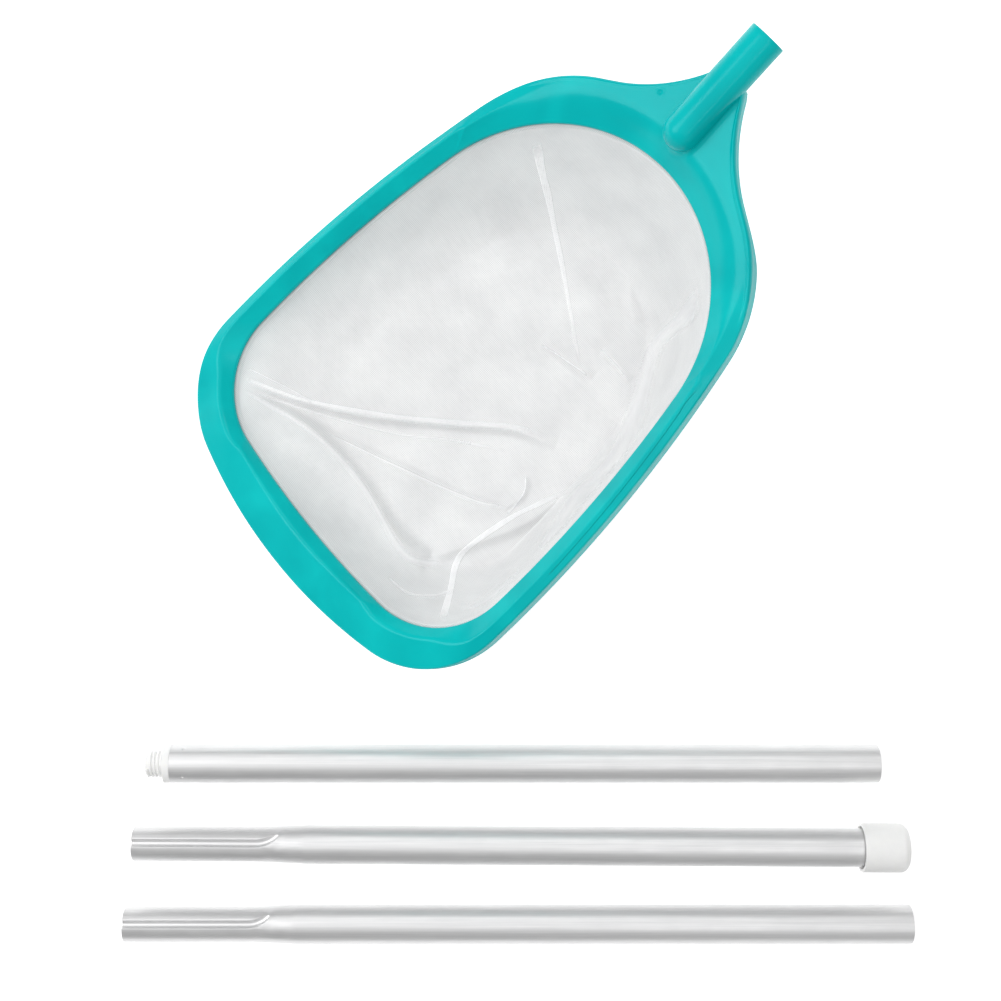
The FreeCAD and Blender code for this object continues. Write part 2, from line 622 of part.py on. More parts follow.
# ---------------------------------------------------------------- assembly
def build():
    head = head_placement()
    front = Placement(Vector(FRONT_X, 0.0, TUBE_R), Rotation())
    middle = middle_placement()
    rear = Placement(Vector(REAR_X, -2.0 * SECTION_PITCH, TUBE_R), Rotation())
    cap_end = MIDDLE_LENGTH + CAP_GRIP_CLEARANCE + CAP_FLOOR
    nodes = {}

    def add(name, shape, placement=None):
        if placement is not None:
            shape.Placement = placement.multiply(shape.Placement)
        nodes[name] = shape

    add("net_frame", make_frame(), head)
    add("hem_tape", make_hem_tape(), head)
    add("retaining_ring", make_retaining_ring(), head)
    add("net_floor", make_bag_floor())
    add("net_wall_front", make_front_wall())
    add("net_wall_rear", make_mesh_wall(-SHOULDER_SEAM_AT, SHOULDER_SEAM_AT))
    add("net_wall_left", make_mesh_wall(SHOULDER_SEAM_AT, CORNER_SEAM_AT))
    add("net_wall_right", make_mesh_wall(-CORNER_SEAM_AT, -SHOULDER_SEAM_AT))
    add("seam_rear_left", make_seam(SHOULDER_SEAM_AT))
    add("seam_rear_right", make_seam(-SHOULDER_SEAM_AT))
    add("seam_front_left", make_seam(CORNER_SEAM_AT))
    add("seam_front_right", make_seam(-CORNER_SEAM_AT))
    add("front_tube", make_front_tube(), front)
    add("threaded_tip", make_threaded_tip(), front)
    add("middle_tube", make_swaged_tube(MIDDLE_LENGTH), middle)
    cap = make_end_cap()
    cap.translate(Vector(cap_end, 0.0, 0.0))
    add("end_cap", cap, middle)
    add("rear_tube", make_swaged_tube(REAR_LENGTH), rear)
    return nodes


def main():
    os.makedirs("parts", exist_ok=True)
    nodes = build()
    box = FreeCAD.BoundBox()
    for shape in nodes.values():
        box.add(shape.optimalBoundingBox(True, False))
    shift = Vector(-box.Center.x, -box.Center.y, 0.0)
    for name, shape in nodes.items():
        shape.translate(shift)
        shape.exportStep(os.path.join("parts", name + ".step"))
        print(f"{name:18s} solids {len(shape.Solids)}  valid {shape.isValid()}  volume {shape.Volume:10.1f}")
    print("layout moved by", shift.x, shift.y)


main()
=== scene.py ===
"""Looks of the leaf skimmer net: the moulded head, its mesh bag and the take-apart tube pole.

Everything is in metres in the frame's own axes: +X along the pole sections, +Y from the pole to the net head
and +Z up, with the surface that the object lies on at Z = 0.
"""

import logging
import math
from dataclasses import dataclass, field
from enum import Enum
from typing import Any, Dict, List, Optional, Sequence, Tuple

import bpy
import numpy as np
from mathutils import Matrix, Vector, noise
from mathutils.kdtree import KDTree

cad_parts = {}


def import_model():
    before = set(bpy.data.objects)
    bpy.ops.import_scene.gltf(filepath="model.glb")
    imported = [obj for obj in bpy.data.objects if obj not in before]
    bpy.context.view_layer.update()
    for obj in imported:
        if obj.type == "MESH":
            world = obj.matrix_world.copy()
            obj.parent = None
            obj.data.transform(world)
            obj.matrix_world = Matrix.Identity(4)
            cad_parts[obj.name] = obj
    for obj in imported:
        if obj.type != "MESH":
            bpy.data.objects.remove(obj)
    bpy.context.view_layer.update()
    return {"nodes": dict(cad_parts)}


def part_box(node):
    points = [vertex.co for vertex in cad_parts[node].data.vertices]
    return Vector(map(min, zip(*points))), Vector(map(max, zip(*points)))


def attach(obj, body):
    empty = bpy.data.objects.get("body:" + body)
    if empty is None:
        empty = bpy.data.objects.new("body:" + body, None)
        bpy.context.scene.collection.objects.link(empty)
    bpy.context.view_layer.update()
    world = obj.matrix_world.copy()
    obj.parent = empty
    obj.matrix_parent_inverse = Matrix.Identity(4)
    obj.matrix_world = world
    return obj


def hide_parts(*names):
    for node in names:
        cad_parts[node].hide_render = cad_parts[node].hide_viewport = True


log = logging.getLogger("leaf_skimmer")
MM = 0.001


# ------------------------------------------------------------------------------------------- node helpers
def linear(hex_colour: str) -> Tuple[float, float, float, float]:
    """Turn an sRGB hex colour into a linear one.

    Args:
        hex_colour: six hex digits, with or without a leading mark.

    Returns:
        Red, green, blue and an alpha of one.
    """
    digits = hex_colour.lstrip("#")
    values = [int(digits[i:i + 2], 16) / 255.0 for i in (0, 2, 4)]
    red, green, blue = [v / 12.92 if v <= 0.04045 else ((v + 0.055) / 1.055) ** 2.4 for v in values]
    return red, green, blue, 1.0


def add_node(tree: bpy.types.NodeTree, kind: str, inputs: Optional[Dict[Any, Any]] = None,
             **settings: Any) -> bpy.types.Node:
    """Add one node with its settings and links.

    Args:
        tree: the material's node tree.
        kind: the node's type name.
        inputs: input name or number to a value, or to another node's output socket.
        settings: properties of the node itself.

    Returns:
        The new node.
    """
    node = tree.nodes.new(kind)
    for name, value in settings.items():
        setattr(node, name, value)
    for name, value in (inputs or {}).items():
        if isinstance(value, bpy.types.NodeSocket):
            tree.links.new(value, node.inputs[name])
        else:
            node.inputs[name].default_value = value
    return node


def ramp(tree: bpy.types.NodeTree, factor: bpy.types.NodeSocket,
         stops: Sequence[Tuple[float, str]]) -> bpy.types.Node:
    """Add a colour ramp.

    Args:
        tree: the material's node tree.
        factor: the socket that drives the ramp.
        stops: positions with their hex colours, in order.

    Returns:
        The ramp node.
    """
    node = add_node(tree, "ShaderNodeValToRGB", {"Fac": factor})
    for index, (place, colour) in enumerate(stops):
        stop = node.color_ramp.elements[index] if index < 2 else node.color_ramp.elements.new(place)
        stop.position = place
        stop.color = linear(colour)
    return node


def map_range(tree: bpy.types.NodeTree, value: bpy.types.NodeSocket, old: Tuple[float, float],
              new: Tuple[float, float]) -> bpy.types.NodeSocket:
    """Rescale a value from its old range to a new one.

    Args:
        tree: the material's node tree.
        value: the socket to rescale.
        old: the range that the value comes in.
        new: the range that it is turned into.

    Returns:
        The rescaled value's socket.
    """
    node = add_node(tree, "ShaderNodeMapRange", {"Value": value, "From Min": old[0], "From Max": old[1],
                                                 "To Min": new[0], "To Max": new[1]})
    return node.outputs["Result"]


def new_material(name: str) -> Tuple[bpy.types.Material, bpy.types.NodeTree, bpy.types.Node]:
    """Make an empty node material.

    Args:
        name: the material's name.

    Returns:
        The material, its node tree and its surface shader.
    """
    material = bpy.data.materials.new(name)
    material.use_nodes = True
    return material, material.node_tree, material.node_tree.nodes["Principled BSDF"]


# ------------------------------------------------------------------------------------------- finishes
class Weave(Enum):
    """How many layers of the mesh a piece of cloth is."""
    SINGLE = "single"
    DOUBLED = "doubled"


@dataclass(frozen=True)
class MouldedPolypropylene:
    """Injection-moulded polypropylene: a waxy gloss, faint sink and flow marks, a trace of light inside.

    The eye gets broad soft highlights along the ridges, tinted by the plastic, and side walls that stay deep in
    colour because the waxy skin scatters what falls on it at a low angle.
    """
    name: str = "moulded_polypropylene"
    colour: str = "02bcbc"
    deep_colour: str = "00aeb0"
    ior: float = 1.38
    specular_level: float = 0.4
    highlight_tint: Tuple[float, float, float, float] = (0.4, 0.85, 0.85, 1.0)
    grazing_roughness: float = 0.5
    roughness: Tuple[float, float] = (0.17, 0.25)
    # flow marks are as long as the melt's run past a corner, and the polish grain is a tool maker's last stone
    flow_mark_mm: float = 38.0
    polish_grain_mm: float = 0.9
    sink_depth_mm: float = 0.4
    grain_depth_mm: float = 0.03
    inner_light: float = 0.06
    inner_light_mm: float = 0.3

    def build(self) -> bpy.types.Material:
        """Build the material and return it."""
        material, tree, shader = new_material(self.name)
        place = add_node(tree, "ShaderNodeTexCoord").outputs["Object"]
        flow = add_node(tree, "ShaderNodeTexNoise", {"Vector": place, "Scale": 1.0 / (self.flow_mark_mm * MM),
                                                     "Detail": 3.0, "Roughness": 0.45, "Distortion": 0.6})
        grain = add_node(tree, "ShaderNodeTexNoise", {"Vector": place, "Scale": 1.0 / (self.polish_grain_mm * MM),
                                                      "Detail": 2.0})
        tint = ramp(tree, flow.outputs["Fac"], [(0.32, self.deep_colour), (0.68, self.colour)])
        tree.links.new(tint.outputs["Color"], shader.inputs["Base Color"])
        rough = map_range(tree, flow.outputs["Fac"], (0.3, 0.7), self.roughness)
        facing = add_node(tree, "ShaderNodeLayerWeight", {"Blend": 0.5}).outputs["Facing"]
        grazing = map_range(tree, facing, (0.7, 0.95), (0.0, self.grazing_roughness))
        both = add_node(tree, "ShaderNodeMath", {0: rough, 1: grazing}, operation="ADD")
        tree.links.new(both.outputs["Value"], shader.inputs["Roughness"])
        sink = add_node(tree, "ShaderNodeBump", {"Height": flow.outputs["Fac"], "Strength": 0.12,
                                                 "Distance": self.sink_depth_mm * MM})
        skin = add_node(tree, "ShaderNodeBump", {"Height": grain.outputs["Fac"], "Strength": 0.05,
                                                 "Distance": self.grain_depth_mm * MM,
                                                 "Normal": sink.outputs["Normal"]})
        tree.links.new(skin.outputs["Normal"], shader.inputs["Normal"])
        shader.inputs["IOR"].default_value = self.ior
        shader.inputs["Specular IOR Level"].default_value = self.specular_level
        shader.inputs["Specular Tint"].default_value = self.highlight_tint
        shader.inputs["Subsurface Weight"].default_value = self.inner_light
        shader.inputs["Subsurface Radius"].default_value = (0.4, 1.0, 1.0)
        shader.inputs["Subsurface Scale"].default_value = self.inner_light_mm * MM
        return material


@dataclass(frozen=True)
class MouldedPolyethylene:
    """Soft white low-density polyethylene: satin, milky, with a fine tool grain and handling scuffs.

    The eye gets a milky white with no hard highlight, because light goes a little way in before it comes back.
    """
    name: str = "moulded_polyethylene"
    colour: str = "f1f1f0"
    scuff_colour: str = "eeeeed"
    ior: float = 1.51
    roughness: Tuple[float, float] = (0.36, 0.5)
    # the grain is spark-eroded tool texture, and a scuff is about as wide as a fingertip's edge
    grain_mm: float = 0.5
    scuff_mm: float = 5.0
    grain_depth_mm: float = 0.05
    inner_light: float = 0.25
    inner_light_mm: float = 1.2

    def build(self) -> bpy.types.Material:
        """Build the material and return it."""
        material, tree, shader = new_material(self.name)
        place = add_node(tree, "ShaderNodeTexCoord").outputs["Object"]
        scuff = add_node(tree, "ShaderNodeTexNoise", {"Vector": place, "Scale": 1.0 / (self.scuff_mm * MM),
                                                      "Detail": 5.0, "Roughness": 0.65})
        grain = add_node(tree, "ShaderNodeTexNoise", {"Vector": place, "Scale": 1.0 / (self.grain_mm * MM)})
        tint = ramp(tree, scuff.outputs["Fac"], [(0.35, self.scuff_colour), (0.6, self.colour)])
        tree.links.new(tint.outputs["Color"], shader.inputs["Base Color"])
        rough = map_range(tree, scuff.outputs["Fac"], (0.3, 0.7), self.roughness)
        tree.links.new(rough, shader.inputs["Roughness"])
        bump = add_node(tree, "ShaderNodeBump", {"Height": grain.outputs["Fac"], "Strength": 0.12,
                                                 "Distance": self.grain_depth_mm * MM})
        tree.links.new(bump.outputs["Normal"], shader.inputs["Normal"])
        shader.inputs["IOR"].default_value = self.ior
        shader.inputs["Subsurface Weight"].default_value = self.inner_light
        shader.inputs["Subsurface Radius"].default_value = (1.0, 1.0, 0.9)
        shader.inputs["Subsurface Scale"].default_value = self.inner_light_mm * MM
        return material


@dataclass(frozen=True)
class AnodisedAluminium:
    """Drawn aluminium tube with a clear satin anodised skin: soft streaks along the draw and a few fine rubs.

    The eye gets one broad blurred highlight along each tube, with darker flanks and no clear reflection.
    """
    name: str = "anodised_aluminium"
    colour: str = "e4e4e4"
    streak_colour: str = "d8d8d9"
    roughness: Tuple[float, float] = (0.44, 0.52)
    # draw streaks run with the tube, far longer than wide, and a rub is where sections knock together
    streak_length_mm: float = 60.0
    streak_width_mm: float = 0.7
    rub_mm: float = 14.0
    streak_depth_mm: float = 0.03

    def build(self) -> bpy.types.Material:
        """Build the material and return it."""
        material, tree, shader = new_material(self.name)
        place = add_node(tree, "ShaderNodeTexCoord").outputs["Object"]
        along, across = 1.0 / (self.streak_length_mm * MM), 1.0 / (self.streak_width_mm * MM)
        drawn = add_node(tree, "ShaderNodeMapping", {"Vector": place, "Scale": (along, across, across)})
        streak = add_node(tree, "ShaderNodeTexNoise", {"Vector": drawn.outputs["Vector"], "Scale": 1.0,
                                                       "Detail": 3.0, "Roughness": 0.6})
        rub = add_node(tree, "ShaderNodeTexNoise", {"Vector": place, "Scale": 1.0 / (self.rub_mm * MM),
                                                    "Detail": 4.0, "Roughness": 0.6})
        tint = ramp(tree, streak.outputs["Fac"], [(0.3, self.streak_colour), (0.7, self.colour)])
        tree.links.new(tint.outputs["Color"], shader.inputs["Base Color"])
        rough = map_range(tree, rub.outputs["Fac"], (0.3, 0.7), self.roughness)
        tree.links.new(rough, shader.inputs["Roughness"])
        bump = add_node(tree, "ShaderNodeBump", {"Height": streak.outputs["Fac"], "Strength": 0.1,
                                                 "Distance": self.streak_depth_mm * MM})
        tree.links.new(bump.outputs["Normal"], shader.inputs["Normal"])
        shader.inputs["Metallic"].default_value = 1.0
        return material


@dataclass(frozen=True)
class WovenMesh:
    """Fine plain-woven polyester monofilament mesh, white and half see-through, brighter where it lies double.

    The eye gets a soft grey-white haze with a thread pattern only close to, and clean white where two layers
    close the gaps between each other's threads; where it lies double a faint painted glow is added as well.
    """
    name: str = "woven_mesh"
    weave: Weave = Weave.SINGLE
    colour: str = "e6e6e6"
    shade_colour: str = "d6d6d7"
    doubled_colour: str = "ffffff"
    doubled_shade_colour: str = "f3f3f5"
    # painted glow: a faint white emission on the doubled mesh, standing in for light coming up through it from the
    # paper
    painted_glow_from_below: float = 0.07
    # threads are drawn coarser than the cloth's own so that they hold up, and clouds are where the cloth slackens
    thread_spacing_mm: float = 0.95
    thread_depth_mm: float = 0.1
    slub_mm: float = 9.0
    cloud_mm: float = 30.0
    cover: Tuple[float, float] = (0.7, 0.95)
    doubled_cover: Tuple[float, float] = (0.82, 1.0)

    def build(self) -> bpy.types.Material:
        """Build the material and return it."""
        material, tree, shader = new_material(f"{self.name}_{self.weave.value}")
        cut = add_node(tree, "ShaderNodeUVMap", uv_map="cut").outputs["UV"]
        scale = 2.0 * math.pi / (self.thread_spacing_mm * MM) / 20.0
        threads = [add_node(tree, "ShaderNodeTexWave", {"Vector": cut, "Scale": scale, "Distortion": 0.6,
                                                        "Detail": 1.0, "Detail Scale": 0.2}, bands_direction=way)
                   for way in ("X", "Y")]
        thread = add_node(tree, "ShaderNodeMath", {0: threads[0].outputs["Fac"], 1: threads[1].outputs["Fac"]},
                          operation="MAXIMUM").outputs["Value"]
        slub = add_node(tree, "ShaderNodeMapping", {"Vector": cut, "Scale": (1.0, 0.15, 1.0)})
        slubs = add_node(tree, "ShaderNodeTexNoise", {"Vector": slub.outputs["Vector"],
                                                      "Scale": 1.0 / (self.slub_mm * 0.2 * MM), "Detail": 2.0})
        cloud = add_node(tree, "ShaderNodeTexNoise", {"Vector": cut, "Scale": 1.0 / (self.cloud_mm * MM),
                                                      "Detail": 3.0, "Roughness": 0.5})
        clouded = map_range(tree, cloud.outputs["Fac"], (0.3, 0.7), (0.0, 0.8))
        slubbed = map_range(tree, slubs.outputs["Fac"], (0.3, 0.7), (0.0, 0.2))
        shade = add_node(tree, "ShaderNodeMath", {0: clouded, 1: slubbed}, operation="ADD")
        pair = ((self.shade_colour, self.colour) if self.weave is Weave.SINGLE
                else (self.doubled_shade_colour, self.doubled_colour))
        tint = ramp(tree, shade.outputs["Value"], [(0.0, pair[0]), (1.0, pair[1])])
        tree.links.new(tint.outputs["Color"], shader.inputs["Base Color"])
        if self.weave is Weave.SINGLE:
            cover = map_range(tree, thread, (0.3, 0.95), self.cover)
        else:
            edge = add_node(tree, "ShaderNodeAttribute", attribute_name="cover").outputs["Fac"]
            closed = map_range(tree, thread, (0.2, 0.9), self.doubled_cover)
            cover = add_node(tree, "ShaderNodeMath", {0: edge, 1: closed}, operation="MULTIPLY").outputs["Value"]
        tree.links.new(cover, shader.inputs["Alpha"])
        bump = add_node(tree, "ShaderNodeBump", {"Height": thread, "Strength": 0.25,
                                                 "Distance": self.thread_depth_mm * MM})
        tree.links.new(bump.outputs["Normal"], shader.inputs["Normal"])
        shader.inputs["Roughness"].default_value = 0.6
        shader.inputs["Sheen Weight"].default_value = 0.2
        shader.inputs["Specular IOR Level"].default_value = 0.25
        # painted glow: the doubled mesh gets a faint white emission in place of light from below
        if self.weave is Weave.DOUBLED:
            shader.inputs["Emission Color"].default_value = (1.0, 1.0, 1.0, 1.0)
            shader.inputs["Emission Strength"].default_value = self.painted_glow_from_below
        return material


@dataclass(frozen=True)
class StudioPaper:
    """Matt white background paper, which the eye takes for a clean even white with only a faint shadow on it."""
    name: str = "studio_paper"
    colour: str = "ffffff"
    fibre_mm: float = 3.0
    fibre_depth_mm: float = 0.05
    glow: float = 0.4

    def build(self) -> bpy.types.Material:
        """Build the material and return it."""
        material, tree, shader = new_material(self.name)
        place = add_node(tree, "ShaderNodeTexCoord").outputs["Object"]
        fibre = add_node(tree, "ShaderNodeTexNoise", {"Vector": place, "Scale": 1.0 / (self.fibre_mm * MM)})
        bump = add_node(tree, "ShaderNodeBump", {"Height": fibre.outputs["Fac"], "Strength": 0.02,
                                                 "Distance": self.fibre_depth_mm * MM})
        tree.links.new(bump.outputs["Normal"], shader.inputs["Normal"])
        shader.inputs["Base Color"].default_value = linear(self.colour)
        shader.inputs["Roughness"].default_value = 0.9
        shader.inputs["Emission Color"].default_value = linear(self.colour)
        shader.inputs["Emission Strength"].default_value = self.glow
        return material


# ------------------------------------------------------------------------------------------- mesh helpers
def mesh_object(name: str, points: np.ndarray, faces: Sequence[Sequence[int]], material: bpy.types.Material,
                uv: Optional[np.ndarray] = None) -> bpy.types.Object:
    """Make a smooth-shaded mesh object.

    Args:
        name: the object's name.
        points: one row of x, y and z for each vertex, in metres.
        faces: vertex numbers of each face.
        material: the finish.
        uv: one row of flat-cut coordinates for each vertex, in metres.

    Returns:
        The new object, linked to the scene.
    """
    mesh = bpy.data.meshes.new(name)
    mesh.from_pydata([tuple(point) for point in points], [], [tuple(face) for face in faces])
    mesh.materials.append(material)
    mesh.polygons.foreach_set("use_smooth", [True] * len(mesh.polygons))
    if uv is not None:
        layer = mesh.uv_layers.new(name="cut")
        corners = np.zeros(len(mesh.loops), dtype=np.int32)
        mesh.loops.foreach_get("vertex_index", corners)
        layer.data.foreach_set("uv", uv[corners].astype(np.float32).ravel())
    mesh.update()
    obj = bpy.data.objects.new(name, mesh)
    bpy.context.scene.collection.objects.link(obj)
    return obj


def grid_faces(rows: int, columns: int, closed: bool) -> List[Tuple[int, int, int, int]]:
    """Quads of a grid whose vertices are numbered row by row.

    Args:
        rows: how many rows of vertices.
        columns: how many vertices in a row.
        closed: whether the last column joins the first.

    Returns:
        Four vertex numbers for each quad.
    """
    faces = []
    for row in range(rows - 1):
        for column in range(columns if closed else columns - 1):
            beside = (column + 1) % columns
            faces.append((row * columns + column, row * columns + beside,
                          (row + 1) * columns + beside, (row + 1) * columns + column))
    return faces


def dress(node: bpy.types.Object, material: bpy.types.Material, edge_mm: float = 0.0) -> None:
    """Give a node of the frame its finish, with its sharp edges eased.

    Args:
        node: the node's object.
        material: the finish.
        edge_mm: how wide the eased edge is, or nothing for an edge left as it is.
    """
    node.data.materials.clear()
    node.data.materials.append(material)
    weld = node.modifiers.new("weld", "WELD")
    weld.merge_threshold = 0.004 * MM
    if edge_mm > 0.0:
        ease = node.modifiers.new("eased_edges", "BEVEL")
        ease.width = edge_mm * MM
        ease.segments = 3
        ease.limit_method = "ANGLE"
        ease.angle_limit = math.radians(34.0)
        ease.use_clamp_overlap = True
        ease.harden_normals = False
    normals = node.modifiers.new("even_shading", "WEIGHTED_NORMAL")
    normals.keep_sharp = True
    node.data.polygons.foreach_set("use_smooth", [True] * len(node.data.polygons))


# ------------------------------------------------------------------------------------------- the head
class Outline:
    """A closed outline of tangent arcs, followed by the direction that it faces, in millimetres."""

    def arcs(self) -> List[Tuple[float, float, float, float]]:
        """Return each arc's last direction, centre and radius, from the handle round to the front."""
        raise NotImplementedError

    def point(self, direction: float, inside: float = 0.0) -> Tuple[float, float]:
        """Find the outline's point in the head's own plane.

        Args:
            direction: which way the outline faces there, in degrees from the handle.
            inside: how far inside the outline the point lies.

        Returns:
            Distances along the handle axis and to its left.
        """
        side, turn = (-1.0 if direction < 0.0 else 1.0), abs(direction)
        for last, centre_u, centre_v, radius in self.arcs():
            if turn <= last + 1e-9:
                break
        angle = math.radians(turn)
        reach = radius - inside
        return centre_u + reach * math.cos(angle), side * (centre_v + reach * math.sin(angle))


@dataclass
class RimOutline(Outline):
    """The opening's edge: a round shoulder, bowed sides, front corners and a bowed front lip, in millimetres."""
    shoulder: float = 96.8
    side: float = 727.0
    side_turn: float = 11.3
    corner: float = 51.7
    front_turn: float = 6.0

    def arcs(self) -> List[Tuple[float, float, float, float]]:
        """Return each arc's last direction, centre and radius, from the handle round to the front."""
        turn = math.radians(self.side_turn)
        side_u, side_v = (self.shoulder - self.side) * math.sin(turn), (self.shoulder - self.side) * math.cos(turn)
        corner_v = side_v + self.side - self.corner
        front = self.corner + corner_v / math.sin(math.radians(self.front_turn))
        front_u = side_u + (front - self.corner) * math.cos(math.radians(self.front_turn))
        return [(90.0 - self.side_turn, 0.0, 0.0, self.shoulder), (90.0, side_u, side_v, self.side),
                (180.0 - self.front_turn, side_u, corner_v, self.corner), (180.0, front_u, 0.0, front)]

    def directions(self, count: int) -> List[float]:
        """Spread directions evenly along the rim.

        Args:
            count: how many points to spread round the rim.

        Returns:
            That many directions from -180 to 180 degrees, the last left out.
        """
        fine = np.linspace(-180.0, 180.0, 7201)
        places = np.array([self.point(float(angle), 0.0) for angle in fine])
        run = np.concatenate([[0.0], np.cumsum(np.hypot(*np.diff(places, axis=0).T))])
        return [float(a) for a in np.interp(np.linspace(0.0, run[-1], count, endpoint=False), run, fine)]


def ease(value: np.ndarray, low: float, high: float) -> np.ndarray:
    """Step smoothly from 0 at one value to 1 at another.

    Args:
        value: the values to look up.
        low: where the step starts, which may be the larger.
        high: where it ends.

    Returns:
        A share from 0 to 1 for each value.
    """
    share = np.clip((np.asarray(value, dtype=float) - low) / (high - low), 0.0, 1.0)
    return share * share * (3.0 - 2.0 * share)


@dataclass
class HeadPlace:
    """How the head lies, from the front tube's left end and the hem's lowest point."""
    yaw: float = 44.04
    pitch: float = 10.58
    roll: float = 17.56
    from_tube_end_mm: float = 207.1
    from_tube_axis_mm: float = 261.1
    hem_low_mm: float = -2.95
    hem_reach_mm: float = 5.0
    matrix: Matrix = field(init=False)

    def __post_init__(self) -> None:
        """Work out the head's place from the frame."""
        turn = (Matrix.Rotation(math.radians(self.yaw), 3, "Z")
                @ Matrix.Rotation(-math.radians(self.pitch), 3, "Y")
                @ Matrix.Rotation(-math.radians(self.roll), 3, "X"))
        tube_low, tube_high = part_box("front_tube")
        hem_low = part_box("hem_tape")[0]
        rim = RimOutline()
        lowest = min((turn @ Vector((*rim.point(float(angle), -self.hem_reach_mm), self.hem_low_mm))).z
                     for angle in range(80, 180))
        origin = Vector((tube_low.x + self.from_tube_end_mm * MM,
                         (tube_low.y + tube_high.y) / 2 + self.from_tube_axis_mm * MM,
                         hem_low.z - lowest * MM))
        self.matrix = Matrix.Translation(origin) @ turn.to_4x4()

    def at(self, u: float, v: float, w: float) -> np.ndarray:
        """Turn a place in the head's own millimetres into the frame's metres.

        Args:
            u: distance along the handle axis.
            v: distance to the left of it.
            w: height over the rim.

        Returns:
            x, y and z.
        """
        return np.array(self.matrix @ Vector((u * MM, v * MM, w * MM)))


@dataclass
class OuterOutline(Outline):
    """The band's outer edge, made of the same kinds of arc as the opening's, in millimetres."""
    shoulder: float = 86.41
    shoulder_u: float = 30.3
    shoulder_v: float = 16.4
    neck_turn: float = 20.0
    side: float = 780.0
    side_turn: float = 14.0
    corner: float = 60.5
    front_turn: float = 15.0

    def arcs(self) -> List[Tuple[float, float, float, float]]:
        """Return each arc's last direction, centre and radius, from the handle round to the front."""
        neck = self.shoulder_v / math.sin(math.radians(self.neck_turn))
        neck_u = self.shoulder_u - neck * math.cos(math.radians(self.neck_turn))
        turn = math.radians(self.side_turn)
        side_u = self.shoulder_u + (self.shoulder - self.side) * math.sin(turn)
        side_v = self.shoulder_v + (self.shoulder - self.side) * math.cos(turn)
        corner_v = side_v + self.side - self.corner
        front = self.corner + corner_v / math.sin(math.radians(self.front_turn))
        front_u = side_u + (front - self.corner) * math.cos(math.radians(self.front_turn))
        return [(self.neck_turn, neck_u, 0.0, self.shoulder + neck),
                (90.0 - self.side_turn, self.shoulder_u, self.shoulder_v, self.shoulder),
                (90.0, side_u, side_v, self.side), (180.0 - self.front_turn, side_u, corner_v, self.corner),
                (180.0, front_u, 0.0, front)]


